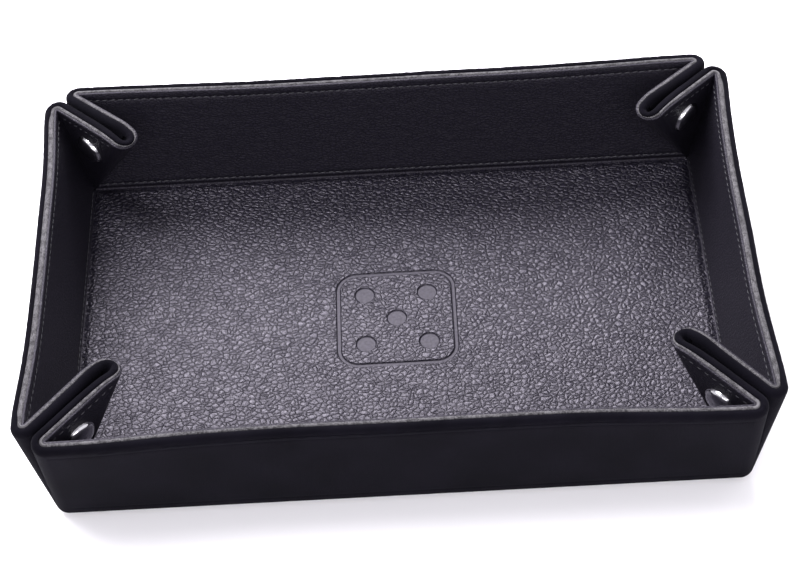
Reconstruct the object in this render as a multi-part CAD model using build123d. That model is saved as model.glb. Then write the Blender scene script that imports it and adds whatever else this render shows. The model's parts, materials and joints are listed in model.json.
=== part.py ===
"""Folding dice tray with four snap corners, standing with its walls up.

The tray is one layered sheet: a leather lining, a stiff board and a velvet cover. Four walls
fold up from the floor. The spare sheet at each corner folds inwards between two walls as a
pair of halves joined by a soft loop, and a press snap holds the pair together. Every fold line
lies on the lining's surface, and the fold lines of one corner all meet at the floor corner.

Origin: middle of the underside, on the table. +X is the long way, +Y the back, +Z up.
Lengths are millimetres and angles degrees.
"""
from build123d import *
import os
from math import atan, cos, pi, radians, sin, sqrt

# Driving dimensions
FLOOR_X = 230.0          # floor between the two short walls' fold lines
FLOOR_Y = 145.0          # floor between the two long walls' fold lines
WALL_H = 45.0            # wall from its fold line to the rim, along its slope
WALL_ANGLE = 80.0        # wall from flat to standing
CORNER_ANGLE = 135.0     # corner half from flat to folded in
LINING_T = 0.8           # leather
BOARD_T = 1.8            # stiff board
COVER_T = 2.4            # velvet over its backing
SHEET_T = LINING_T + BOARD_T + COVER_T
FOLD_GAP = 0.15          # each panel stops this short of its fold line

# Corner halves and loops
HALF_SLOPE = 0.65        # stiff part of a half: its reach from the fold line over its height
LOOP_SLOPE = 0.67        # the soft loop starts here
HALF_START = 5.0         # halves and loops start this far from the floor corner
LOOP_START = 10.0
LOOP_TOP = 43.0
MIRROR_GAP = 0.2         # half to the corner's mirror plane
TRIM_STEPS = 8           # fold positions at which a half is trimmed to its side of the mirror
TRIM_SPAN = 0.5          # share of the fold that those positions cover

# Press snaps
SNAP_REACH = 12.0        # snap centre from the half's fold line
SNAP_UP = 30.0           # and up that line from the floor corner
CAP_R = 6.25
CAP_EDGE = 0.5
CAP_H = 2.0
POST_R = 1.4
POST_CLEAR = 0.1
DISC_R = 4.0
POCKET_R = 4.4
SEAT_DEPTH = 1.3         # from the lining's surface to the back of the socket or stud
FACE_DEPTH = 3.0         # from the lining's surface to the front of the socket or stud
PLATE_T = 0.5
SOCKET_R = 2.6
SOCKET_MOUTH_R = 3.6
HUB_R = 2.2
STUD_R = 1.9
STUD_REACH = 4.9         # from the lining's surface to the stud's tip
STUD_ROUND = 1.0

# Thread lines on the walls
THREAD_W = 0.5
THREAD_H = 0.25
RIM_THREAD = 3.5         # below the rim
FOOT_THREAD = 2.2        # above the fold line
THREAD_END = 4.0         # thread stops this short of the wall's end

# Die face pressed into the floor's lining
DIE_SIDE = 44.0
DIE_CORNER_R = 8.0
DIE_LINE = 1.4
PIP_R = 3.6
PIP_SPREAD = 11.5
PRESS_DEPTH = 0.35
ARC_MIDDLE = 0.293                   # from a square corner to the middle of its rounding, in radii
LOOP_START_GUESS = radians(37)       # first guess of the flat angle at which the loop starts
LOOP_PASSES = 60                     # steps from that guess to the solved angle

UP = Vector(0, 0, 1)
CORNER = Vector(FLOOR_X / 2, FLOOR_Y / 2, SHEET_T)
MIRROR = Vector(-1, 1, 0).normalized()
BIG = 400.0


def write(name, shape):
    """Write one sub-part to its own STEP file."""
    shape.label = name
    export_step(shape, f"parts/{name}.step")


def layer(plane, outline, depth, thickness):
    """A layer of the sheet: an outline, sunk to depth below the lining's surface."""
    return extrude(plane.offset(-depth) * outline, amount=-thickness)


# Walls and floor
def wall_plane(outward, reach):
    """Plane of a standing wall's lining: X along its fold line, Y up the wall."""
    lean = radians(WALL_ANGLE)
    normal = UP * cos(lean) - outward * sin(lean)
    return Plane(origin=outward * reach + UP * SHEET_T, x_dir=outward.cross(UP), z_dir=normal)


def wall_outline(length):
    """A wall's panel, clear of its fold line and ends."""
    low = FOLD_GAP
    wide = length - 2 * FOLD_GAP
    return Pos(0, (WALL_H + low) / 2) * Rectangle(wide, WALL_H - low)


def wall_thread(plane, length):
    """The two thread lines of a wall, along the rim and along the foot."""
    run = length - 2 * THREAD_END
    line = Rectangle(run, THREAD_W)
    rim = extrude(plane * (Pos(0, WALL_H - RIM_THREAD) * line), amount=THREAD_H)
    foot = extrude(plane * (Pos(0, FOOT_THREAD) * line), amount=THREAD_H)
    return Compound(children=[rim, foot])


def die_face():
    """Outline of a five-pip die face: a rounded square line and its pips."""
    outer = RectangleRounded(DIE_SIDE, DIE_SIDE, DIE_CORNER_R)
    inner_side = DIE_SIDE - 2 * DIE_LINE
    inner = RectangleRounded(inner_side, inner_side, DIE_CORNER_R - DIE_LINE)
    spots = [(0, 0)]
    spots += [(x, y) for x in (-PIP_SPREAD, PIP_SPREAD) for y in (-PIP_SPREAD, PIP_SPREAD)]
    face = outer - inner
    for x, y in spots:
        face += Pos(x, y) * Circle(PIP_R)
    return face


def write_floor():
    """The floor's three layers, with the die face pressed into the lining."""
    top = Plane(origin=(0, 0, SHEET_T))
    outline = Rectangle(FLOOR_X - 2 * FOLD_GAP, FLOOR_Y - 2 * FOLD_GAP)
    lining = layer(top, outline, 0, LINING_T) - layer(top, die_face(), 0, PRESS_DEPTH)
    write("floor_lining", lining)
    write("floor_board", layer(top, outline, LINING_T, BOARD_T))
    write("floor_cover", layer(top, outline, LINING_T + BOARD_T, COVER_T))


def write_walls():
    """Four walls, each a lining, a board, a cover and its thread."""
    sides = {
        "front": (Vector(0, -1, 0), FLOOR_Y / 2, FLOOR_X),
        "back": (Vector(0, 1, 0), FLOOR_Y / 2, FLOOR_X),
        "left": (Vector(-1, 0, 0), FLOOR_X / 2, FLOOR_Y),
        "right": (Vector(1, 0, 0), FLOOR_X / 2, FLOOR_Y),
    }
    for side, (outward, reach, length) in sides.items():
        plane = wall_plane(outward, reach)
        outline = wall_outline(length)
        write(f"{side}_wall_lining", layer(plane, outline, 0, LINING_T))
        write(f"{side}_wall_board", layer(plane, outline, LINING_T, BOARD_T))
        write(f"{side}_wall_cover", layer(plane, outline, LINING_T + BOARD_T, COVER_T))
        write(f"{side}_wall_thread", wall_thread(plane, length))


# Corners, made once at the back right and mirrored to the others
def half_axes(share):
    """Axes of the long wall's corner half with that share of the fold undone.

    Along the half away from its fold line, up the fold line, and out of its lining.
    """
    wall = radians(WALL_ANGLE) * (1 - share)
    fold = radians(CORNER_ANGLE) * (1 - share)
    rise = Vector(0, cos(wall), sin(wall))
    wall_normal = Vector(0, -sin(wall), cos(wall))
    away = Vector(1, 0, 0) * cos(fold) + wall_normal * sin(fold)
    return away, rise, away.cross(rise)


AWAY, RISE, NORMAL = half_axes(0)
HALF_PLANE = Plane(origin=CORNER, x_dir=AWAY, z_dir=NORMAL)
SNAP_PLANE = Plane(origin=CORNER + AWAY * SNAP_REACH + RISE * SNAP_UP, x_dir=AWAY, z_dir=NORMAL)


def own_side(share, gap):
    """The space on the half's side of the mirror plane, with that share of the fold undone."""
    axes = half_axes(share)
    parts = [MIRROR.dot(axis) for axis in axes]
    normal = AWAY * parts[0] + RISE * parts[1] + NORMAL * parts[2]
    plane = Plane(origin=CORNER + normal * gap, z_dir=normal)
    return plane * Box(BIG, BIG, BIG, align=(Align.CENTER, Align.CENTER, Align.MIN))


def trimmed(shape):
    """The shape kept on its own side of the mirror plane while the corner opens."""
    for step in range(TRIM_STEPS + 1):
        shape = shape & own_side(TRIM_SPAN * step / TRIM_STEPS, MIRROR_GAP)
    return shape


def half_outline():
    """The stiff part of a corner half, in its own plane."""
    return make_face(Polyline(
        (FOLD_GAP, HALF_START),
        (HALF_START * HALF_SLOPE, HALF_START),
        (WALL_H * HALF_SLOPE, WALL_H),
        (FOLD_GAP, WALL_H),
        close=True,
    ))


def half_lining():
    """Leather layer of a corner half, with the snap's post hole."""
    hole = SNAP_PLANE * Cylinder(POST_R + POST_CLEAR, 4 * SHEET_T)
    return trimmed(layer(HALF_PLANE, half_outline(), 0, LINING_T)) - hole


def half_cover():
    """Velvet layer of a corner half, with a pocket for the snap's socket or stud."""
    panel = trimmed(layer(HALF_PLANE, half_outline(), LINING_T, SHEET_T - LINING_T))
    hole = SNAP_PLANE * Cylinder(POST_R + POST_CLEAR, 4 * SHEET_T)
    deep = (Align.CENTER, Align.CENTER, Align.MAX)
    pocket = SNAP_PLANE.offset(-SEAT_DEPTH) * Cylinder(POCKET_R, 2 * SHEET_T, align=deep)
    return panel - hole - pocket


def loop_directions():
    """Directions from the floor corner that outline half of the soft loop.

    The lining leaves the half's plane along a circular cone that meets the mirror plane
    square on. Flat, the half and its part of the loop span 45 degrees, which sets the
    cone's place and size.
    """
    toward = NORMAL * -1
    flat = LOOP_START_GUESS
    for _ in range(LOOP_PASSES):
        start = RISE * cos(flat) + AWAY * sin(flat)
        size = atan(-start.dot(MIRROR) / toward.dot(MIRROR))
        centre = start * cos(size) + toward * sin(size)
        inward = MIRROR.cross(centre) * -1
        side = (start - centre * start.dot(centre)).normalized()
        turn = radians(side.get_angle(inward))
        flat = (flat + pi / 4 - sin(size) * turn) / 2
    end = centre * cos(size) + inward * sin(size)
    between = (side + inward).normalized()
    middle = centre * cos(size) + between * sin(size)
    return start, middle, end


def loop_section(height):
    """Section of half the loop across the half's fold line: a quarter round by the mirror."""
    start, middle, end = loop_directions()
    edge = RISE + AWAY * LOOP_SLOPE
    foot = edge - NORMAL * (edge.dot(MIRROR) / NORMAL.dot(MIRROR))
    rays = (edge, start, middle, end, foot)
    points = [CORNER + ray * (height / ray.dot(RISE)) for ray in rays]
    return make_face([
        Line(points[0], points[1]),
        ThreePointArc(points[1], points[2], points[3]),
        Line(points[3], points[4]),
        Line(points[4], points[0]),
    ])


def half_loop():
    """The soft loop's half, as a plain solid from near the floor corner to the rim."""
    body = loft([loop_section(LOOP_START), loop_section(LOOP_TOP)], ruled=True)
    return body & own_side(0, MIRROR_GAP)


# Snaps, made along the half's normal
def turned(points, arcs=()):
    """A turned piece from its half profile of (radius, height) points.

    arcs holds the numbers of the points that are the middle of an arc.
    """
    edges = []
    index = 0
    count = len(points)
    while index < count:
        nxt = index + 1
        if nxt in arcs:
            edges.append(ThreePointArc(points[index], points[nxt], points[(nxt + 1) % count]))
            index = nxt + 1
        else:
            edges.append(Line(points[index], points[nxt % count]))
            index = nxt
    return SNAP_PLANE * revolve(Plane.XZ * make_face(edges), axis=Axis.Z)


def snap_cap():
    """Domed cap on the lining, with the post that holds the socket or stud."""
    rise = CAP_H - CAP_EDGE
    ball_r = (CAP_R ** 2 + rise ** 2) / (2 * rise)
    halfway = CAP_R / 2
    halfway_h = CAP_H - ball_r + sqrt(ball_r ** 2 - halfway ** 2)
    return turned([
        (0, -SEAT_DEPTH), (POST_R, -SEAT_DEPTH), (POST_R, 0), (CAP_R, 0), (CAP_R, CAP_EDGE),
        (halfway, halfway_h), (0, CAP_H),
    ], arcs=(5,))


def snap_socket():
    """Socket: a plate and a ring that takes the stud."""
    return turned([
        (0, -SEAT_DEPTH), (DISC_R, -SEAT_DEPTH), (DISC_R, -FACE_DEPTH),
        (SOCKET_MOUTH_R, -FACE_DEPTH), (SOCKET_R, -FACE_DEPTH + PLATE_T),
        (SOCKET_R, -SEAT_DEPTH - PLATE_T), (0, -SEAT_DEPTH - PLATE_T),
    ])


def snap_stud():
    """Stud: a hub, a plate and a round-nosed pin."""
    nose = STUD_REACH - STUD_ROUND
    return turned([
        (0, -SEAT_DEPTH), (HUB_R, -SEAT_DEPTH), (HUB_R, -FACE_DEPTH + PLATE_T),
        (DISC_R, -FACE_DEPTH + PLATE_T), (DISC_R, -FACE_DEPTH), (STUD_R, -FACE_DEPTH),
        (STUD_R, -nose),
        (STUD_R - STUD_ROUND * ARC_MIDDLE, -nose - STUD_ROUND * (1 - ARC_MIDDLE)),
        (STUD_R - STUD_ROUND, -STUD_REACH), (0, -STUD_REACH),
    ], arcs=(7,))


def placed(shape, corner_x, corner_y, long_wall):
    """The shape moved from the back right long-wall half to another half."""
    if not long_wall:
        shape = mirror(shape, about=Plane(origin=CORNER, z_dir=MIRROR))
    if corner_x < 0:
        shape = mirror(shape, about=Plane.YZ)
    if corner_y < 0:
        shape = mirror(shape, about=Plane.XZ)
    return shape


def write_corners():
    """Four corners: two halves with their loops, and a snap whose stud is on the short wall."""
    pieces = {"lining": half_lining(), "cover": half_cover(), "loop": half_loop()}
    caps = {"cap": snap_cap()}
    long_metal = {"socket": snap_socket()}
    short_metal = {"stud": snap_stud()}
    for x_name, x_sign in (("left", -1), ("right", 1)):
        for y_name, y_sign in (("front", -1), ("back", 1)):
            corner = f"{y_name}_{x_name}"
            for wall, is_long, metal in (("long", True, long_metal), ("short", False, short_metal)):
                for kind, shape in pieces.items():
                    write(f"{corner}_{wall}_{kind}", placed(shape, x_sign, y_sign, is_long))
                for kind, shape in caps.items():
                    write(f"{corner}_{wall}_snap_{kind}", placed(shape, x_sign, y_sign, is_long))
                for kind, shape in metal.items():
                    write(f"{corner}_snap_{kind}", placed(shape, x_sign, y_sign, is_long))


os.makedirs("parts", exist_ok=True)
write_floor()
write_walls()
write_corners()
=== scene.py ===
"""Looks of the folding dice tray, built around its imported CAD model."""
import json
from math import cos, pi, radians, sin, sqrt, tan

import bmesh
import bpy
import numpy as np
from mathutils import Matrix, Vector


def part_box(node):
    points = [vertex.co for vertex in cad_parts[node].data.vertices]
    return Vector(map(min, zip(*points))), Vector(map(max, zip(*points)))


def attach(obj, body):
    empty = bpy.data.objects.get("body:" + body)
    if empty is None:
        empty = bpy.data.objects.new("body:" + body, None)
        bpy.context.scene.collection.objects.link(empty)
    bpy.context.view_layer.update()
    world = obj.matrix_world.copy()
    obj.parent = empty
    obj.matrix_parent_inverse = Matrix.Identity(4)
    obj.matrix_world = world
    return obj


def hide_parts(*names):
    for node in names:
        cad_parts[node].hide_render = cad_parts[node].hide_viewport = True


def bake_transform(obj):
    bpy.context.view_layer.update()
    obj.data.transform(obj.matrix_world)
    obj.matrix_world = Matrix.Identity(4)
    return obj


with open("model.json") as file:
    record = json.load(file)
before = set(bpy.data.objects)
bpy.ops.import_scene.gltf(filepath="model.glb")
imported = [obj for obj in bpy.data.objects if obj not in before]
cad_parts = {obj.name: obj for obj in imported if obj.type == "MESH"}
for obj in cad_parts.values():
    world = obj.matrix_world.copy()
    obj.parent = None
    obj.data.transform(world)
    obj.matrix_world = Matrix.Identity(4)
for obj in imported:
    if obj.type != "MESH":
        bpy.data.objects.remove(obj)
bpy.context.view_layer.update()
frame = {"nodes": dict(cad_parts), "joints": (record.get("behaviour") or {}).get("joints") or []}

MM = 0.001
rng = np.random.default_rng(7)

# ---------------------------------------------------------------- sizes from the frame, in mm
JOINTS = {j["name"]: j for j in frame["joints"]}
CORNER = np.array(JOINTS["back_right_long_half_fold"]["pos_m"]) / MM
LONG, SHORT, SHEET_T = 2 * CORNER[0], 2 * CORNER[1], CORNER[2]
WALL_ANGLE = radians(JOINTS["front_wall_fold"]["range_deg"][1])
FOLD_ANGLE = radians(JOINTS["back_right_long_half_fold"]["range_deg"][1])
WALL_H = (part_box("front_wall_lining")[1].z / MM - SHEET_T) / sin(WALL_ANGLE)

# ---------------------------------------------------------------- sizes of the sheet, in mm
LEATHER_T = 0.8
LONG_WALL_CORE = 2.1       # depth at which the velvet starts, on a long wall
SHORT_WALL_CORE = 2.8      # the same on a short wall
HALF_CORE = 2.1            # the same on a corner half
LOOP_CORE = 1.7            # and where a corner's loop starts
TIP_CORE = 1.1             # and at the middle of the loop
LOOP_T = 4.4               # whole thickness where the loop starts
TIP_T = 3.3                # and at the middle of the loop
THINNING = 0.6             # share of a half's flat angle after which it thins to the loop
SHEET_CORNER_R = 20.0      # rounding of the flat sheet's own corners
RIM_BOW = 2.2              # inward bow of a rim at its middle
RIM_WAVE = 0.15            # slight waviness of a rim
NAP = 0.07                 # unevenness of the velvet's edge
GROOVE_W = 1.6             # fold groove on the wall's side of the floor's fold lines
FLOOR_GROOVE_W = 2.6       # and on the floor's side
GROOVE_D = 0.7
SEAM_W = 0.7               # half width of the line that the stitches press into the leather
SEAM_D = 0.28
SEAM_PULL = 0.4            # share of that depth by which the stitches draw the velvet in
RIM_LINE = 3.6             # stitch line below the rim
FOOT_LINE = 2.3            # stitch line above the fold line
CAP_R = 6.2
CAP_H = 2.1
STITCH_PITCH = 2.9
STITCH_L = 2.3
WALL_STEP = 1.5            # spacing of a wall's columns
END_TAPER = 6.0            # a wall's core changes to a half's over this length
BOW_POWER = 1.6            # how the inward bow grows up a wall
FOLD_STEPS = 15            # columns across a hairpin or a loop
HALF_STEPS = 19            # columns across a half
LOOP_START_GUESS = radians(37)   # first guess of the flat angle at which the loop starts
LOOP_PASSES = 80           # steps from that guess to the solved angle

Z = np.array([0.0, 0.0, 1.0])
MIRROR = np.array([-1.0, 1.0, 0.0]) / sqrt(2)
RISE = np.array([0, cos(WALL_ANGLE), sin(WALL_ANGLE)])
WALL_NORMAL = np.array([0, -sin(WALL_ANGLE), cos(WALL_ANGLE)])
AWAY = np.array([1.0, 0, 0]) * cos(FOLD_ANGLE) + WALL_NORMAL * sin(FOLD_ANGLE)
HALF_NORMAL = np.cross(AWAY, RISE)


def unit(v):
    """Vectors scaled to length 1."""
    return v / np.linalg.norm(v, axis=-1, keepdims=True)


def smooth(x):
    """Smooth step from 0 to 1."""
    x = np.clip(x, 0, 1)
    return x * x * (3 - 2 * x)


# ---------------------------------------------------------------- meshes
def make_mesh(name, verts, faces, material, attributes=None, sharp=50):
    """A closed mesh in metres from millimetre points, smooth but for its sharp edges."""
    mesh = bpy.data.meshes.new(name)
    mesh.from_pydata((np.asarray(verts) * MM).tolist(), [], faces)
    for key, values in (attributes or {}).items():
        values = np.asarray(values, np.float32)
        kind = "FLOAT_VECTOR" if values.ndim == 2 else "FLOAT"
        slot = "vector" if values.ndim == 2 else "value"
        mesh.attributes.new(key, kind, "POINT").data.foreach_set(slot, values.ravel())
    bm = bmesh.new()
    bm.from_mesh(mesh)
    bmesh.ops.remove_doubles(bm, verts=bm.verts, dist=2e-6)
    bmesh.ops.dissolve_degenerate(bm, edges=bm.edges, dist=1e-6)
    bmesh.ops.recalc_face_normals(bm, faces=bm.faces)
    bm.to_mesh(mesh)
    bm.free()
    mesh.shade_smooth()
    mesh.set_sharp_from_angle(angle=radians(sharp))
    mesh.materials.append(material)
    obj = bpy.data.objects.new(name, mesh)
    bpy.context.scene.collection.objects.link(obj)
    return obj


class Sheet:
    """Columns of the sheet's lining, side by side, each from its foot to the rim.

    points, normals: lining points and directions out of the lining, (columns, rows, 3)
    edges: direction out of the rim, (columns, 3)
    flat: place of each point on the sheet laid flat, (columns, rows, 2)
    cuts: depth of the leather's back, the core's back and the velvet's face, (columns, 3)
    dips: how far the lining's face is pressed in at each row
    seams: how far the velvet's face is drawn in by the stitches at each row
    """

    def __init__(self, points, normals, edges, flat, flat_edges, cuts, dips, seams):
        self.points, self.normals, self.edges = points, normals, edges
        self.flat, self.flat_edges, self.cuts = flat, flat_edges, cuts
        self.dips, self.seams = dips, seams


# Profiles of the cut edge: (out of the rim, share of the layer's depth), lining side first
LEATHER_EDGE = [(-0.7, 0.0), (-0.45, 0.15), (-0.35, 0.5), (-0.4, 1.0)]
CORE_EDGE = [(-0.45, 0.0), (-0.12, 0.1), (0.05, 0.3), (0.05, 0.6), (-0.1, 0.88), (-0.4, 1.0)]
VELVET_EDGE = [(-0.4, 0.0), (0.0, 0.05), (0.25, 0.18), (0.3, 0.38), (0.1, 0.62), (-0.4, 0.83), (-1.1, 0.96),
               (-1.9, 1.0)]
RIM_ROWS = 2.0             # the last row of a column is this far below the rim


def sheet_layer(sheet, layer):
    """Points and flat places of one closed layer of the sheet: leather, core or velvet."""
    profile = {"leather": LEATHER_EDGE, "core": CORE_EDGE, "velvet": VELVET_EDGE}[layer]
    index = {"leather": 0, "core": 1, "velvet": 2}[layer]
    near = sheet.cuts[:, index - 1] if index else np.zeros(len(sheet.cuts))
    far = sheet.cuts[:, index]
    outline, flat_outline = [], []
    points, normals, flat = sheet.points, sheet.normals, sheet.flat
    rows = points.shape[1]
    inner = np.ones(len(far))
    inner[[0, -1]] = 0
    top_p, top_n, top_f = points[:, -1], normals[:, -1], flat[:, -1]
    for i in range(rows - 1):
        face = near + (sheet.dips[i] if layer == "leather" else 0)
        outline.append(points[:, i] - normals[:, i] * face[:, None])
        flat_outline.append(np.column_stack([flat[:, i], face]))
    for out, share in profile:
        depth = near + (far - near) * share
        rise = out + (rng.normal(0, NAP, len(depth)) if layer == "velvet" else 0) * inner
        outline.append(top_p + sheet.edges * rise[:, None] - top_n * depth[:, None])
        flat_outline.append(np.column_stack([top_f + sheet.flat_edges * (out + depth[:, None]), depth]))
    for i in reversed(range(rows - 1)):
        back = far - (sheet.seams[i] * SEAM_PULL if layer == "velvet" else 0)
        outline.append(points[:, i] - normals[:, i] * back[:, None])
        flat_outline.append(np.column_stack([flat[:, i], back]))
    return np.stack(outline, axis=1), np.stack(flat_outline, axis=1)


def closed_grid(grid):
    """Faces of a tube of columns, closed around each column and capped at its ends."""
    columns, around = grid.shape[:2]
    faces = []
    for i in range(columns - 1):
        for j in range(around):
            k = (j + 1) % around
            faces.append([i * around + j, (i + 1) * around + j, (i + 1) * around + k, i * around + k])
    faces.append(list(range(around)))
    faces.append([(columns - 1) * around + j for j in reversed(range(around))])
    return faces


def keep_own_side(grid, gap=0.04):
    """Points pushed back to their own side of the corner's mirror plane."""
    over = gap - (grid - CORNER) @ MIRROR
    return grid + np.clip(over, 0, None)[..., None] * MIRROR


# ---------------------------------------------------------------- the walls' shape
def wall_frame(side):
    """Origin on the fold line, and the directions along it, up the wall and out of its lining."""
    outward = {"front": (0, -1, 0), "back": (0, 1, 0), "left": (-1, 0, 0), "right": (1, 0, 0)}[side]
    outward = np.array(outward, float)
    reach = (SHORT if side in ("front", "back") else LONG) / 2
    length = LONG if side in ("front", "back") else SHORT
    up = outward * cos(WALL_ANGLE) + Z * sin(WALL_ANGLE)
    normal = Z * cos(WALL_ANGLE) - outward * sin(WALL_ANGLE)
    along = np.cross(outward, Z)
    origin = outward * reach + Z * SHEET_T
    return origin, along, up, normal, outward, length


def wall_point(side, u, v):
    """Lining point and normal at u along a wall and v up it, bowed inwards in the middle."""
    origin, along, up, normal, _, length = wall_frame(side)
    u, v = np.broadcast_arrays(np.asarray(u, float), np.asarray(v, float))
    mid = np.clip(1 - (2 * u / length) ** 2, 0, 1)
    wave = np.sin(u / 17 + len(side)) + np.sin(u / 7.3 + 2 * len(side)) / 3
    bow = (RIM_BOW * smooth(mid) + RIM_WAVE * wave * smooth(mid * 3)) * (v / WALL_H) ** BOW_POWER
    share = np.clip(v, 0, None) / WALL_H
    slope = RIM_BOW * smooth(mid) * BOW_POWER * share ** (BOW_POWER - 1) / WALL_H
    point = origin + u[..., None] * along + v[..., None] * up + bow[..., None] * normal
    return point, unit(normal - slope[..., None] * up)


def seam_dip(height):
    """How far the stitch lines press the leather in, at a height up a wall."""
    gap = np.min(np.abs([height - FOOT_LINE, height - (WALL_H - RIM_LINE)]))
    return SEAM_D * (1 - smooth(gap / SEAM_W))


def wall_heights():
    """Heights of a wall's rows: close together in the fold groove and at the stitch lines."""
    groove = [0, 0.4, 0.8, 1.2]
    shifts = np.linspace(-SEAM_W, SEAM_W, 7)
    seams = [line + shift for line in (FOOT_LINE, WALL_H - RIM_LINE) for shift in shifts]
    middle = np.linspace(4, WALL_H - 6, 12)
    return np.unique(np.round([*groove, *seams, *middle, WALL_H - RIM_ROWS, WALL_H], 3))


def wall_sheet(side):
    """A wall with the bend that joins it to the floor."""
    origin, along, up, _, outward, length = wall_frame(side)
    u = np.linspace(-length / 2, length / 2, int(length / WALL_STEP) + 1)
    bend = np.linspace(0, 1, 11)[:-1]
    dips = [GROOVE_D] * len(bend)
    drawn = [0.0] * len(bend)
    points, normals, flat = [], [], []
    foot = origin + u[:, None] * along
    flat_foot = np.outer(u, along[:2]) + origin[:2]
    for share in bend:
        turn = share * WALL_ANGLE
        points.append(foot)
        normals.append(np.tile(Z * cos(turn) - outward * sin(turn), (len(u), 1)))
        flat.append(flat_foot)
    for height in wall_heights():
        point, lean = wall_point(side, u, np.full(len(u), height))
        points.append(point)
        normals.append(lean)
        dips.append(seam_dip(height) + GROOVE_D * (1 - smooth(height / GROOVE_W)))
        drawn.append(seam_dip(height))
        flat.append(flat_foot + height * outward[:2])
    count = len(u)
    core = LONG_WALL_CORE if side in ("front", "back") else SHORT_WALL_CORE
    cuts = np.tile([LEATHER_T, core, SHEET_T], (count, 1))
    # the ends thin to a corner half's core
    ends = smooth((np.abs(u) - (length / 2 - END_TAPER)) / END_TAPER)
    cuts[:, 1] += (HALF_CORE - core) * ends
    edges = np.tile(up, (count, 1))
    flat_edges = np.tile(outward[:2], (count, 1))
    stack = [np.stack(a, axis=1) for a in (points, normals, flat)]
    return Sheet(stack[0], stack[1], edges, stack[2], flat_edges, cuts, dips, drawn)


# ---------------------------------------------------------------- the corners' shape
def loop_cone():
    """The soft loop's cone: where it leaves the half, its axis and its size.

    Flat, the half and its part of the loop span 45 degrees of the sheet.
    """
    toward = -HALF_NORMAL
    flat = LOOP_START_GUESS
    for _ in range(LOOP_PASSES):
        start = RISE * cos(flat) + AWAY * sin(flat)
        size = np.arctan(-(start @ MIRROR) / (toward @ MIRROR))
        centre = start * cos(size) + toward * sin(size)
        inward = unit(-np.cross(MIRROR, centre))
        side = unit(start - centre * (start @ centre))
        turn = np.arccos(np.clip(side @ inward, -1, 1))
        flat = (flat + pi / 4 - sin(size) * turn) / 2
    return flat, size, centre, side, inward, turn


LOOP_FLAT, LOOP_SIZE, LOOP_AXIS, LOOP_SIDE, LOOP_INWARD, LOOP_TURN = loop_cone()


def rim_reach(angle):
    """Distance from the floor corner to the sheet's edge, and the edge's outward angle."""
    near = WALL_H - SHEET_CORNER_R
    if angle <= np.arctan(near / WALL_H):
        return WALL_H / cos(angle), 0.0
    span = near * (cos(angle) + sin(angle))
    reach = span + sqrt(span ** 2 - 2 * near ** 2 + SHEET_CORNER_R ** 2)
    return reach, np.arctan2(reach * sin(angle) - near, reach * cos(angle) - near)


def corner_ray(angle):
    """Ray, sheet direction across it and lining normal at a flat angle from the fold line."""
    if angle <= LOOP_FLAT:
        ray = RISE * cos(angle) + AWAY * sin(angle)
        across = -RISE * sin(angle) + AWAY * cos(angle)
        return ray, across, HALF_NORMAL
    turn = (angle - LOOP_FLAT) / sin(LOOP_SIZE)
    third = np.cross(LOOP_AXIS, LOOP_SIDE)
    third = third if third @ LOOP_INWARD > 0 else -third
    out = LOOP_SIDE * cos(turn) + third * sin(turn)
    ray = LOOP_AXIS * cos(LOOP_SIZE) + out * sin(LOOP_SIZE)
    across = -LOOP_SIDE * sin(turn) + third * cos(turn)
    return ray, across, np.cross(across, ray)


def corner_column(angle, normal, cuts, reaches):
    """A column of the corner sheet along one ray, at shares of its reach to the rim."""
    ray, across, own_normal = corner_ray(angle)
    normal = own_normal if normal is None else normal
    reach, edge_angle = rim_reach(angle)
    tilt = edge_angle - angle
    edge = ray * cos(tilt) + across * sin(tilt)
    spots = np.append(reaches * (reach - RIM_ROWS), reach)
    points = CORNER + spots[:, None] * ray
    flat = CORNER[:2] + np.outer(spots, [sin(angle), cos(angle)])
    flat_edge = [sin(edge_angle), cos(edge_angle)]
    return points, np.tile(normal, (len(spots), 1)), edge, flat, flat_edge, cuts


def stack_columns(columns):
    """A Sheet from a list of columns."""
    parts = [np.array([c[i] for c in columns]) for i in range(6)]
    plain = np.zeros(parts[0].shape[1])
    return Sheet(parts[0], parts[1], parts[2], parts[3], parts[4], parts[5], plain, plain)


REACHES = np.concatenate([[0.012, 0.05], np.linspace(0.1, 1, 15)])


def half_sheet():
    """A corner half with the hairpin that joins it to its wall."""
    columns = []
    for share in np.linspace(0, 1, FOLD_STEPS):
        turn = share * FOLD_ANGLE
        normal = WALL_NORMAL * cos(turn) - np.array([1.0, 0, 0]) * sin(turn)
        columns.append(corner_column(0.0, normal, [LEATHER_T, HALF_CORE, SHEET_T], REACHES))
    for angle in np.linspace(0, LOOP_FLAT, HALF_STEPS)[1:]:
        thinned = smooth((angle / LOOP_FLAT - THINNING) / (1 - THINNING))
        core = HALF_CORE + (LOOP_CORE - HALF_CORE) * thinned
        thick = SHEET_T + (LOOP_T - SHEET_T) * thinned
        columns.append(corner_column(angle, None, [LEATHER_T, core, thick], REACHES))
    return stack_columns(columns)


def loop_sheet():
    """Half of a corner's soft loop, up to the mirror plane."""
    columns = []
    for share in np.linspace(0, 1, FOLD_STEPS):
        core = LOOP_CORE + (TIP_CORE - LOOP_CORE) * smooth(share)
        thick = LOOP_T + (TIP_T - LOOP_T) * smooth(share)
        angle = LOOP_FLAT + (pi / 4 - LOOP_FLAT) * share
        columns.append(corner_column(angle, None, [LEATHER_T, core, thick], REACHES))
    return stack_columns(columns)


def corner_place(points, corner_x, corner_y, is_long):
    """Points of the back right long-wall half moved to another half."""
    points = np.array(points, float)
    if not is_long:
        over = (points - CORNER) @ MIRROR
        points = points - 2 * over[..., None] * MIRROR
    return points * [corner_x, corner_y, 1]


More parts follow.
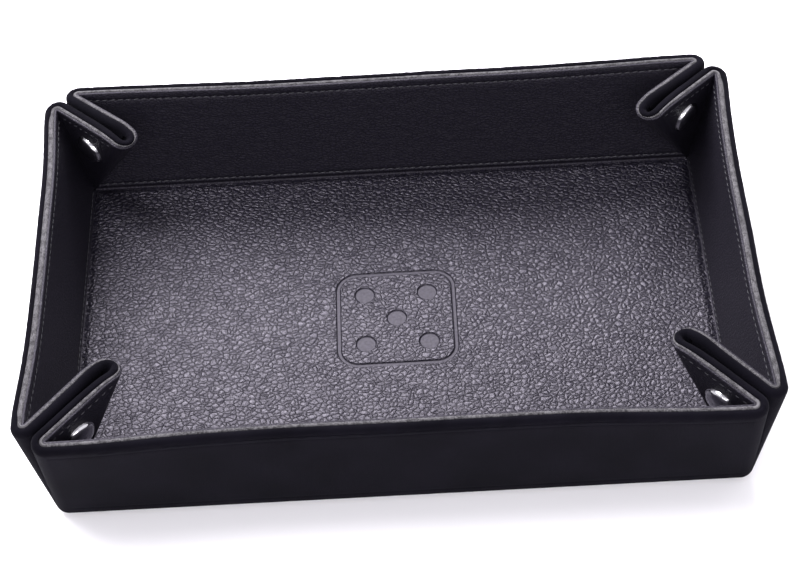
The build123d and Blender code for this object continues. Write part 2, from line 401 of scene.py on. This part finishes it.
def flat_place(flat, corner_x, corner_y, is_long):
    """The same for places on the flat sheet, with depth third."""
    flat = np.array(flat, float)
    if not is_long:
        x = flat[..., 0] - CORNER[0]
        y = flat[..., 1] - CORNER[1]
        flat = np.stack([CORNER[0] + y, CORNER[1] + x, flat[..., 2]], axis=-1)
    return flat * [corner_x, corner_y, 1]


# ---------------------------------------------------------------- materials
FINE_GRAIN = 1.7           # fine creases in the leather, to each coarse one


def new_material(name):
    """A new material with its nodes, its links and its principled shader."""
    material = bpy.data.materials.new(name)
    material.use_nodes = True
    nodes = material.node_tree.nodes
    shader = nodes["Principled BSDF"]
    return material, nodes, material.node_tree.links, shader


def math_node(nodes, links, operation, a, b=None, c=None):
    """A math node fed by sockets or numbers."""
    node = nodes.new("ShaderNodeMath")
    node.operation = operation
    for socket, value in zip(node.inputs, (a, b, c)):
        if value is None:
            continue
        if isinstance(value, (int, float)):
            socket.default_value = value
        else:
            links.new(value, socket)
    return node.outputs[0]


def ramp(nodes, links, value, low, high, out_low=0.0, out_high=1.0, smooth_step=True):
    """A value mapped from one range to another, clamped."""
    node = nodes.new("ShaderNodeMapRange")
    node.interpolation_type = "SMOOTHSTEP" if smooth_step else "LINEAR"
    links.new(value, node.inputs["Value"])
    node.inputs["From Min"].default_value = low
    node.inputs["From Max"].default_value = high
    node.inputs["To Min"].default_value = out_low
    node.inputs["To Max"].default_value = out_high
    return node.outputs["Result"]


def sheet_coords(nodes):
    """The place on the flat sheet, in metres."""
    node = nodes.new("ShaderNodeAttribute")
    node.attribute_name = "sheet"
    return node.outputs["Vector"]


def solid_coords(nodes):
    """The place in the piece's own frame, in metres, for pieces without flat-sheet places."""
    return nodes.new("ShaderNodeTexCoord").outputs["Object"]


def noise(nodes, links, coords, scale, detail=3.0, rough=0.55):
    """Noise texture of a number of cells per metre."""
    node = nodes.new("ShaderNodeTexNoise")
    links.new(coords, node.inputs["Vector"])
    node.inputs["Scale"].default_value = scale
    node.inputs["Detail"].default_value = detail
    node.inputs["Roughness"].default_value = rough
    return node


def bump(nodes, links, height, distance, strength=1.0):
    """A bump node over a height in units of distance metres."""
    node = nodes.new("ShaderNodeBump")
    node.inputs["Distance"].default_value = distance
    node.inputs["Strength"].default_value = strength
    links.new(height, node.inputs["Height"])
    return node.outputs["Normal"]


def mix_color(nodes, links, factor, a, b):
    """Two colours mixed by a factor."""
    node = nodes.new("ShaderNodeMix")
    node.data_type = "RGBA"
    links.new(factor, node.inputs[0])
    node.inputs[6].default_value = (*a, 1)
    node.inputs[7].default_value = (*b, 1)
    return node.outputs[2]


def grain_coords(nodes, links, coords):
    """Places on the leather, turned, stretched and warped, so that the grain follows no rows."""
    turned = nodes.new("ShaderNodeMapping")
    links.new(coords, turned.inputs["Vector"])
    turned.inputs["Scale"].default_value = (0.88, 1.12, 1.0)
    turned.inputs["Rotation"].default_value = (0, 0, 0.6)
    warp = noise(nodes, links, turned.outputs[0], 320, 1.5)
    add = nodes.new("ShaderNodeVectorMath")
    add.operation = "MULTIPLY_ADD"
    links.new(warp.outputs["Color"], add.inputs[0])
    add.inputs[1].default_value = (0.0026, 0.0024, 0.0)
    links.new(turned.outputs[0], add.inputs[2])
    return add.outputs[0]


def cell_edges(nodes, links, coords, scale):
    """Distance to the nearest edge between grain cells."""
    cells = nodes.new("ShaderNodeTexVoronoi")
    cells.feature = "DISTANCE_TO_EDGE"
    cells.voronoi_dimensions = "2D"
    cells.inputs["Randomness"].default_value = 1.0
    links.new(coords, cells.inputs["Vector"])
    cells.inputs["Scale"].default_value = scale
    return cells.outputs["Distance"]


def pressed_mark(nodes):
    """How far the die face is pressed in, from 0 to 1."""
    mark = nodes.new("ShaderNodeAttribute")
    mark.attribute_name = "pressed"
    return mark.outputs["Fac"]


def leather_material(name, cell, grain, rough, shine, pressed=False):
    """Black pebbled artificial leather: rounded cells with creased valleys between them."""
    material, nodes, links, shader = new_material(name)
    coords = sheet_coords(nodes)
    places = grain_coords(nodes, links, coords)
    edges = cell_edges(nodes, links, places, cell)
    fine_edges = cell_edges(nodes, links, places, cell * FINE_GRAIN)
    crease = ramp(nodes, links, edges, 0.0, 0.13)
    dome = ramp(nodes, links, edges, 0.0, 0.5, smooth_step=False)
    low_crease = math_node(nodes, links, "MULTIPLY", crease, 0.36)
    pebble = math_node(nodes, links, "MULTIPLY_ADD", dome, 0.9, low_crease)
    small = ramp(nodes, links, fine_edges, 0.0, 0.14)
    wrinkle = noise(nodes, links, coords, 900, 4.0).outputs["Fac"]
    broad = noise(nodes, links, coords, 110, 2.0).outputs["Fac"]
    height = math_node(nodes, links, "MULTIPLY_ADD", small, 0.16, pebble)
    height = math_node(nodes, links, "MULTIPLY_ADD", wrinkle, 0.04, height)
    depth = ramp(nodes, links, broad, 0.3, 0.7, 0.88, 1.1)
    height = math_node(nodes, links, "MULTIPLY", height, depth)
    gloss = ramp(nodes, links, wrinkle, 0.3, 0.7, rough - 0.03, rough + 0.05)
    if pressed:
        mark = pressed_mark(nodes)
        keep = math_node(nodes, links, "MULTIPLY_ADD", mark, -0.93, 1.0)
        height = math_node(nodes, links, "MULTIPLY", height, keep)
        gloss = math_node(nodes, links, "MULTIPLY_ADD", mark, 0.2, gloss)
    # painted shade and light: the base colour follows each pebble's height, darkest in the crease valleys
    # and lighter towards the middle of its dome
    tone = mix_color(nodes, links, pebble, (0.002, 0.0018, 0.0032), (0.006, 0.0052, 0.0105))
    links.new(tone, shader.inputs["Base Color"])
    links.new(gloss, shader.inputs["Roughness"])
    links.new(bump(nodes, links, height, grain), shader.inputs["Normal"])
    shader.inputs["Specular IOR Level"].default_value = shine
    shader.inputs["Specular Tint"].default_value = (0.93, 0.88, 1.0, 1)
    return material


def velvet_material(name, find_coords):
    """Black velvet: a short nap with a bluish sheen and faint brushed patches."""
    material, nodes, links, shader = new_material(name)
    coords = find_coords(nodes)
    patches = noise(nodes, links, coords, 45, 3.0, 0.6).outputs["Fac"]
    fibres = noise(nodes, links, coords, 5200, 3.0, 0.7).outputs["Fac"]
    tufts = noise(nodes, links, coords, 1300, 3.0, 0.6).outputs["Fac"]
    tone = mix_color(nodes, links, ramp(nodes, links, patches, 0.3, 0.7),
                     (0.0014, 0.0012, 0.0027), (0.0030, 0.0026, 0.0050))
    links.new(tone, shader.inputs["Base Color"])
    shader.inputs["Roughness"].default_value = 0.95
    shader.inputs["Specular IOR Level"].default_value = 0.06
    shader.inputs["Sheen Weight"].default_value = 0.014
    shader.inputs["Sheen Roughness"].default_value = 0.42
    shader.inputs["Sheen Tint"].default_value = (0.62, 0.6, 0.78, 1)
    height = math_node(nodes, links, "MULTIPLY_ADD", tufts, 0.8, fibres)
    links.new(bump(nodes, links, height, 0.00018, 0.8), shader.inputs["Normal"])
    return material


def core_material(name, find_coords):
    """Raw cut edge of the grey core: matte and fibrous."""
    material, nodes, links, shader = new_material(name)
    coords = find_coords(nodes)
    fibre = noise(nodes, links, coords, 1700, 4.0, 0.7).outputs["Fac"]
    patch = noise(nodes, links, coords, 420, 3.0, 0.6).outputs["Fac"]
    soft_patch = math_node(nodes, links, "MULTIPLY", patch, 0.4)
    blend = math_node(nodes, links, "MULTIPLY_ADD", fibre, 0.6, soft_patch)
    tone = mix_color(nodes, links, ramp(nodes, links, blend, 0.38, 0.62),
                     (0.022, 0.021, 0.023), (0.115, 0.112, 0.118))
    links.new(tone, shader.inputs["Base Color"])
    shader.inputs["Roughness"].default_value = 0.9
    shader.inputs["Specular IOR Level"].default_value = 0.25
    links.new(bump(nodes, links, blend, 0.0005, 1.0), shader.inputs["Normal"])
    return material


def metal_material():
    """Bright nickel with fine handling marks."""
    material, nodes, links, shader = new_material("snap_nickel")
    coords = solid_coords(nodes)
    smudge = noise(nodes, links, coords, 420, 3.0).outputs["Fac"]
    marks = noise(nodes, links, coords, 2600, 5.0, 0.75).outputs["Fac"]
    tone = mix_color(nodes, links, ramp(nodes, links, smudge, 0.35, 0.7),
                     (0.66, 0.66, 0.68), (0.82, 0.82, 0.84))
    links.new(tone, shader.inputs["Base Color"])
    shader.inputs["Metallic"].default_value = 1.0
    links.new(ramp(nodes, links, smudge, 0.3, 0.75, 0.09, 0.2), shader.inputs["Roughness"])
    links.new(bump(nodes, links, marks, 0.00002, 0.35), shader.inputs["Normal"])
    return material


def thread_material():
    """Black sewing thread with its twist."""
    material, nodes, links, shader = new_material("black_thread")
    coords = solid_coords(nodes)
    twist = noise(nodes, links, coords, 3800, 2.0).outputs["Fac"]
    tone = mix_color(nodes, links, ramp(nodes, links, twist, 0.3, 0.7),
                     (0.009, 0.009, 0.013), (0.026, 0.025, 0.032))
    links.new(tone, shader.inputs["Base Color"])
    shader.inputs["Roughness"].default_value = 0.55
    links.new(bump(nodes, links, twist, 0.00012, 0.9), shader.inputs["Normal"])
    return material


def ground_material():
    """Pale studio floor."""
    material, nodes, links, shader = new_material("studio_floor")
    coords = solid_coords(nodes)
    cloud = noise(nodes, links, coords, 3, 2.0).outputs["Fac"]
    tone = mix_color(nodes, links, cloud, (0.9, 0.9, 0.905), (0.93, 0.93, 0.935))
    links.new(tone, shader.inputs["Base Color"])
    shader.inputs["Roughness"].default_value = 0.7
    return material


FLOOR_LEATHER = leather_material("floor_leather", 530, 0.00023, 0.37, 0.47, pressed=True)
WALL_LEATHER = leather_material("wall_leather", 760, 0.00010, 0.52, 0.34)
VELVET = velvet_material("velvet", sheet_coords)
CORE = core_material("core_edge", sheet_coords)
SOLID_VELVET = velvet_material("solid_velvet", solid_coords)
SOLID_CORE = core_material("solid_core", solid_coords)
METAL = metal_material()
THREAD = thread_material()
LAYER_MATERIALS = {"leather": WALL_LEATHER, "core": CORE, "velvet": VELVET}


# ---------------------------------------------------------------- floor
DIE_SIDE = 44.0
DIE_CORNER_R = 8.0
DIE_LINE = 1.5
PIP_R = 3.6
PIP_SPREAD = 11.5
PRESS_DEPTH = 0.5
PRESS_EDGE = 0.45          # width of the slope at a pressed edge
DIE_MARGIN = 2.0           # fine grid past the die face
FINE_STEP = 0.22           # spacing of the fine grid
COARSE_STEP = 1.6          # and of the rest
RIM_BAND = 3.0             # band of close rows at the fold lines
SKIRT = 0.3                # how far the floor's leather reaches into its board


def die_depth(x, y):
    """How far the pressed die face is sunk at each place, from 0 to 1."""
    half = DIE_SIDE / 2 - DIE_CORNER_R
    qx = np.clip(np.abs(x) - half, 0, None)
    qy = np.clip(np.abs(y) - half, 0, None)
    inside = np.minimum(np.maximum(np.abs(x) - half, np.abs(y) - half), 0)
    outline = np.hypot(qx, qy) + inside - DIE_CORNER_R
    gap = np.abs(outline + DIE_LINE / 2) - DIE_LINE / 2
    spots = [(0, 0)] + [(a, b) for a in (-PIP_SPREAD, PIP_SPREAD) for b in (-PIP_SPREAD, PIP_SPREAD)]
    for a, b in spots:
        gap = np.minimum(gap, np.hypot(x - a, y - b) - PIP_R)
    return 1 - smooth(gap / PRESS_EDGE + 0.5)


def axis_spots(half):
    """Grid lines: fine across the die face and near the ends, coarser between."""
    fine = DIE_SIDE / 2 + DIE_MARGIN
    middle = np.arange(-fine, fine + 1e-6, FINE_STEP)
    outer = np.linspace(fine, half - RIM_BAND, int((half - RIM_BAND - fine) / COARSE_STEP) + 1)[1:]
    rim = np.linspace(half - RIM_BAND, half, 11)[1:]
    side = np.concatenate([outer, rim])
    return np.concatenate([-side[::-1], middle, side])


def floor_height(x, y, pressed):
    """Height of the floor's leather: pressed die face, grooves at the fold lines, slight swells."""
    edge = np.minimum(LONG / 2 - np.abs(x), SHORT / 2 - np.abs(y))
    groove = 1 - smooth(edge / FLOOR_GROOVE_W)
    swell = 0.16 * np.sin(x / 31 + 0.7) * np.cos(y / 23) + 0.1 * np.sin(x / 17 + y / 29)
    swell *= smooth(edge / 18)
    return SHEET_T - PRESS_DEPTH * pressed - GROOVE_D * groove + swell * 0.6


def slab_faces(index, start):
    """Faces of a slab: its top grid, its sides and one face below, and the top grid's border."""
    a, b = index[:-1, :-1].ravel(), index[1:, :-1].ravel()
    c, d = index[1:, 1:].ravel(), index[:-1, 1:].ravel()
    faces = np.stack([a, b, c, d], axis=1).tolist()
    border = list(index[:, 0]) + list(index[-1, 1:])
    border += list(index[-2::-1, -1]) + list(index[0, -2:0:-1])
    count = len(border)
    for i in range(count):
        j = (i + 1) % count
        faces.append([border[i], start + i, start + j, border[j]])
    faces.append([start + i for i in reversed(range(count))])
    return faces, border


def build_floor():
    """The floor's leather, with the pressed die face and the grooves at its fold lines."""
    x, y = np.meshgrid(axis_spots(LONG / 2), axis_spots(SHORT / 2), indexing="ij")
    pressed = die_depth(x, y)
    top = np.stack([x, y, floor_height(x, y, pressed)], axis=-1).reshape(-1, 3)
    faces, border = slab_faces(np.arange(x.size).reshape(x.shape), len(top))
    below = top[border].copy()
    below[:, 2] = SHEET_T - LEATHER_T - SKIRT
    verts = np.concatenate([top, below])
    flat = verts * MM
    flat[:, 2] = 0
    mark = np.concatenate([pressed.ravel(), np.zeros(len(border))])
    floor = make_mesh("floor_leather", verts, faces, FLOOR_LEATHER, {"sheet": flat, "pressed": mark})
    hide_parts("floor_lining")
    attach(floor, "floor")


# ---------------------------------------------------------------- stitches
STITCH_SHARES = np.array([-1, -0.82, -0.4, 0, 0.4, 0.82, 1])     # rings along a stitch
STITCH_SIDES = 8
STITCH_HALF_W = 0.22
STITCH_HALF_H = 0.19
STITCH_SLANT = 0.12        # radians off the stitch line


def stitch_faces(base):
    """Faces of one stitch whose points start at base."""
    faces = []
    for i in range(len(STITCH_SHARES) - 1):
        for j in range(STITCH_SIDES):
            k = (j + 1) % STITCH_SIDES
            a = base + i * STITCH_SIDES
            faces.append([a + j, a + k, a + STITCH_SIDES + k, a + STITCH_SIDES + j])
    last = base + (len(STITCH_SHARES) - 1) * STITCH_SIDES
    faces.append([base + j for j in reversed(range(STITCH_SIDES))])
    faces.append([last + j for j in range(STITCH_SIDES)])
    return faces


def stitch_mesh(places):
    """Stitches as small rounded bars: places are (centre, along, normal) lists."""
    verts, faces = [], []
    widths = np.sqrt(np.clip(1 - STITCH_SHARES ** 4, 0.0, 1)) * 0.9 + 0.1
    around = np.linspace(0, 2 * pi, STITCH_SIDES + 1)[:-1]
    for centre, along, normal in places:
        slant = rng.normal(0, 0.05) + STITCH_SLANT
        side = np.cross(normal, along)
        slanted = unit(along * cos(slant) + side * sin(slant))
        side = np.cross(normal, slanted)
        length = STITCH_L * (1 + rng.normal(0, 0.04)) / 2
        base = len(verts)
        for share, width in zip(STITCH_SHARES, widths):
            sink = 0.05 - 0.26 * share ** 2
            for turn in around:
                verts.append(centre + slanted * share * length + side * (STITCH_HALF_W * width * cos(turn))
                             + normal * (STITCH_HALF_H * width * sin(turn) + sink))
        faces += stitch_faces(base)
    return verts, faces


def wall_stitches(side):
    """Places of a wall's two stitch lines."""
    _, along, _, _, _, length = wall_frame(side)
    places = []
    for height, margin in ((WALL_H - RIM_LINE, 2.0), (FOOT_LINE, 3.0)):
        run = length - 2 * margin
        count = int(run / STITCH_PITCH)
        for i in range(count):
            u = -run / 2 + (i + 0.5) * run / count
            point, normal = wall_point(side, u, height)
            places.append((point, along, normal))
    return places


def half_stitches():
    """Places of the stitch line along a corner half's rim."""
    places = []
    first, last = 1.6, (WALL_H - RIM_LINE) * tan(LOOP_FLAT)
    count = int((last - first) / STITCH_PITCH)
    for i in range(count):
        reach = first + (i + 0.5) * (last - first) / count
        places.append((CORNER + AWAY * reach + RISE * (WALL_H - RIM_LINE), AWAY, HALF_NORMAL))
    return places


def build_wall(side):
    """A wall's three layers, bending at the floor's fold line, and its stitches."""
    sheet = wall_sheet(side)
    nodes = {"leather": "lining", "core": "board", "velvet": "cover"}
    for layer in ("leather", "core", "velvet"):
        grid, coords = sheet_layer(sheet, layer)
        piece = make_mesh(f"{side}_wall_{layer}", grid.reshape(-1, 3), closed_grid(grid),
                          LAYER_MATERIALS[layer], {"sheet": coords.reshape(-1, 3) * MM})
        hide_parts(f"{side}_wall_{nodes[layer]}")
        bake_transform(piece)
    verts, faces = stitch_mesh(wall_stitches(side))
    thread = make_mesh(f"{side}_wall_stitches", verts, faces, THREAD)
    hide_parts(f"{side}_wall_thread")
    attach(thread, f"{side}_wall")


def loop_hinge():
    """The loop's joint axis, as a direction from the floor corner."""
    axis = np.array(JOINTS["back_right_long_loop_bend"]["axis"], float)
    return axis if axis[2] > 0 else -axis


def build_corner(corner_x, corner_y, is_long):
    """A corner half and its part of the loop, in three layers each."""
    x_name = "right" if corner_x > 0 else "left"
    y_name = "back" if corner_y > 0 else "front"
    wall = "long" if is_long else "short"
    parent = f"{y_name}_wall" if is_long else f"{x_name}_wall"
    stem = f"{y_name}_{x_name}_{wall}"

    def place(points):
        return corner_place(points, corner_x, corner_y, is_long)

    def vector(v):
        return place(CORNER + v) - place(CORNER)

    across = vector(AWAY + np.array([1.0, 0, 0]))
    middle = corner_ray((LOOP_FLAT + pi / 4) / 2)[1]
    hinge = loop_hinge()
    over = vector(middle - hinge * (middle @ hinge))
    half_replaces = {"leather": f"{stem}_lining", "core": None, "velvet": f"{stem}_cover"}
    for kind, sheet, bodies, direction in (
        ("half", HALF_SHEET, (parent, f"{stem}_half"), across),
        ("loop", LOOP_SHEET, (f"{stem}_half", f"{stem}_loop"), over),
    ):
        for layer in ("leather", "core", "velvet"):
            grid, coords = sheet_layer(sheet, layer)
            grid = place(keep_own_side(grid))
            coords = flat_place(coords, corner_x, corner_y, is_long)
            piece = make_mesh(f"{stem}_{kind}_{layer}", grid.reshape(-1, 3), closed_grid(grid),
                              LAYER_MATERIALS[layer], {"sheet": coords.reshape(-1, 3) * MM})
            if kind == "half" and half_replaces[layer]:
                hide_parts(half_replaces[layer])
            if kind == "loop" and layer == "leather":
                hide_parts(f"{stem}_loop")
            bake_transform(piece)
    places = [(place(p), vector(a), vector(n)) for p, a, n in half_stitches()]
    verts, faces = stitch_mesh(places)
    thread = make_mesh(f"{stem}_half_stitches", verts, faces, THREAD)
    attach(thread, f"{stem}_half")


# Profile of a snap cap from its middle out: (share of its radius, height above the leather)
CAP_PROFILE = [(0.0, 1.0), (0.25, 0.985), (0.45, 0.94), (0.62, 0.86), (0.75, 0.74), (0.84, 0.58),
               (0.9, 0.38), (0.925, 0.2), (0.93, 0.1), (0.96, 0.12), (0.99, 0.09), (1.0, 0.0), (1.0, -0.2)]


CAP_SIDES = 48


def cap_mesh(foot, normal):
    """A pressed dome with a rounded shoulder and a thin flange, standing on foot."""
    aside = unit(np.cross(normal, Z))
    upward = np.cross(aside, normal)
    turns = np.linspace(0, 2 * pi, CAP_SIDES + 1)[:-1]
    verts = [foot + normal * CAP_H]
    for share, height in CAP_PROFILE[1:]:
        for turn in turns:
            verts.append(foot + CAP_R * share * (aside * cos(turn) + upward * sin(turn))
                         + normal * CAP_H * height)
    faces = [[0, 1 + j, 1 + (j + 1) % CAP_SIDES] for j in range(CAP_SIDES)]
    for i in range(len(CAP_PROFILE) - 2):
        for j in range(CAP_SIDES):
            a = 1 + i * CAP_SIDES + j
            b = 1 + i * CAP_SIDES + (j + 1) % CAP_SIDES
            faces.append([a, a + CAP_SIDES, b + CAP_SIDES, b])
    last = 1 + (len(CAP_PROFILE) - 2) * CAP_SIDES
    faces.append([last + j for j in range(CAP_SIDES)])
    return verts, faces


def build_caps():
    """The snaps' domed caps, on the lining at each CAD cap's place."""
    for name in [key for key in frame["nodes"] if key.endswith("snap_cap")]:
        low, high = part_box(name)
        centre = (np.array(low) + np.array(high)) / 2 / MM
        corner_x = 1 if centre[0] > 0 else -1
        corner_y = 1 if centre[1] > 0 else -1
        corner = CORNER * [corner_x, corner_y, 1]
        normal = corner_place(CORNER + HALF_NORMAL, corner_x, corner_y, "_long_" in name) - corner
        foot = centre - normal * ((centre - corner) @ normal)
        cap = make_mesh(name.replace("snap_cap", "cap_dome"), *cap_mesh(foot, normal), METAL)
        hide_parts(name)
        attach(cap, name.replace("snap_cap", "half"))


NUB_T = 2.0                # thickness of the velvet under a floor corner
NUB_STEPS = 10


def arc(a, b, share):
    """Direction at a share of the way from direction a to direction b."""
    angle = np.arccos(np.clip(a @ b, -1, 1))
    if angle < 1e-6:
        return a
    return (a * sin((1 - share) * angle) + b * sin(share * angle)) / sin(angle)


def nub_directions():
    """Directions from the floor corner to the velvet under it, both sides of the mirror plane."""
    down = -Z
    out = -WALL_NORMAL
    turn = np.arctan(sin(WALL_ANGLE))
    middle = -(WALL_NORMAL * cos(turn) - np.array([1.0, 0, 0]) * sin(turn))
    path = [arc(down, out, s) for s in np.linspace(0, 1, NUB_STEPS)]
    path += [arc(out, middle, s) for s in np.linspace(0, 1, NUB_STEPS)[1:]]
    centre_line = [arc(down, middle, s) for s in np.linspace(0, 1, len(path))]
    half = np.array([[arc(a, b, s) for s in np.linspace(0, 1, 7)] for a, b in zip(path, centre_line)])
    other = half - 2 * (half @ MIRROR)[..., None] * MIRROR
    return np.concatenate([half, other[:, -2::-1]], axis=1)


def shell_faces(rows, columns):
    """Faces of a closed shell: an outer grid, the same grid inside it, and the strip between."""
    count = rows * columns
    faces = []
    for i in range(rows - 1):
        for j in range(columns - 1):
            a, b = i * columns + j, (i + 1) * columns + j
            faces.append([a, b, b + 1, a + 1])
            faces.append([count + a, count + a + 1, count + b + 1, count + b])
    border = [i * columns for i in range(rows)]
    border += [(rows - 1) * columns + j for j in range(1, columns)]
    border += [i * columns + columns - 1 for i in range(rows - 2, -1, -1)]
    border += list(range(columns - 2, 0, -1))
    for i, a in enumerate(border):
        b = border[(i + 1) % len(border)]
        faces.append([a, b, count + b, count + a])
    return faces


def build_nub(corner_x, corner_y):
    """Velvet under a floor corner, where the bends of the floor and the corner meet."""
    directions = nub_directions()
    outer = CORNER + directions * SHEET_T
    inner = CORNER + directions * (SHEET_T - NUB_T)
    verts = np.concatenate([outer.reshape(-1, 3), inner.reshape(-1, 3)])
    flat = np.column_stack([verts[:, :2], np.full(len(verts), SHEET_T)]) * [corner_x, corner_y, 1]
    name = f"{'back' if corner_y > 0 else 'front'}_{'right' if corner_x > 0 else 'left'}_corner_velvet"
    nub = make_mesh(name, verts * [corner_x, corner_y, 1], shell_faces(*directions.shape[:2]), VELVET,
                    {"sheet": flat * MM})
    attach(nub, "floor")


HALF_SHEET = half_sheet()
LOOP_SHEET = loop_sheet()

build_floor()
for wall_side in ("front", "back", "left", "right"):
    build_wall(wall_side)
for sign_x in (-1, 1):
    for sign_y in (-1, 1):
        build_nub(sign_x, sign_y)
        build_corner(sign_x, sign_y, True)
        build_corner(sign_x, sign_y, False)

build_caps()

# CAD nodes that stay: the floor's hidden layers and the snaps' metal
FLOOR_SOLIDS = {"floor_board": SOLID_CORE, "floor_cover": SOLID_VELVET}
for node_name, node in frame["nodes"].items():
    finish = METAL if "snap" in node_name else FLOOR_SOLIDS.get(node_name)
    if finish:
        for material_slot in node.material_slots:
            material_slot.material = finish


# ---------------------------------------------------------------- studio
def area_light(name, place, aim, size, power, colour=(1, 1, 1)):
    """A soft square light at a place in metres, aimed at a point."""
    data = bpy.data.lights.new(name, "AREA")
    data.shape = "RECTANGLE"
    data.size, data.size_y = size
    data.energy = power
    data.color = colour
    light = bpy.data.objects.new(name, data)
    light.location = place
    light.rotation_euler = (Vector(aim) - Vector(place)).to_track_quat("-Z", "Y").to_euler()
    bpy.context.scene.collection.objects.link(light)


def build_studio():
    """Pale floor, soft lights and an even pale surround."""
    mesh = bpy.data.meshes.new("studio_floor")
    reach = 4.0
    outline = [(-reach, -reach, 0), (reach, -reach, 0), (reach, reach, 0), (-reach, reach, 0)]
    mesh.from_pydata(outline, [], [[0, 1, 2, 3]])
    mesh.materials.append(ground_material())
    ground = bpy.data.objects.new("studio_floor", mesh)
    ground.location.z = -0.0002
    bpy.context.scene.collection.objects.link(ground)
    world = bpy.data.worlds.new("studio")
    world.use_nodes = True
    surround = world.node_tree.nodes["Background"]
    surround.inputs["Color"].default_value = (0.965, 0.94, 1.0, 1)
    surround.inputs["Strength"].default_value = 0.95
    bpy.context.scene.world = world
    tint = (0.975, 0.95, 1.0)
    area_light("back_softbox", (-0.2, 0.85, 0.84), (0, 0, 0), (1.1, 0.6), 36, tint)
    area_light("top_softbox", (-0.4, 0.15, 1.15), (0, 0, 0), (0.45, 0.45), 13, tint)
    area_light("front_fill", (0.1, -1.0, 0.8), (0, 0, 0), (1.0, 0.6), 10, tint)


def build_camera():
    """A long lens from in front and above, a little rolled."""
    azimuth, elevation, roll = radians(0.97), radians(49.83), radians(-3.83)
    distance = 0.7537
    target = np.array([1.61, 12.8, SHEET_T]) * MM
    back = np.array([sin(azimuth) * cos(elevation), -cos(azimuth) * cos(elevation), sin(elevation)])
    right = unit(np.cross(-back, Z))
    up = np.cross(right, -back)
    rolled_right = cos(roll) * right + sin(roll) * up
    rolled_up = -sin(roll) * right + cos(roll) * up
    data = bpy.data.cameras.new("camera")
    data.lens = 91.68
    data.sensor_width = 36
    camera = bpy.data.objects.new("camera", data)
    place = target + back * distance
    rows = np.column_stack([rolled_right, rolled_up, back, place])
    camera.matrix_world = Matrix([*rows.tolist(), [0, 0, 0, 1]])
    bpy.context.scene.collection.objects.link(camera)
    bpy.context.scene.camera = camera


build_studio()
build_camera()
bpy.context.scene.view_settings.view_transform = "Standard"
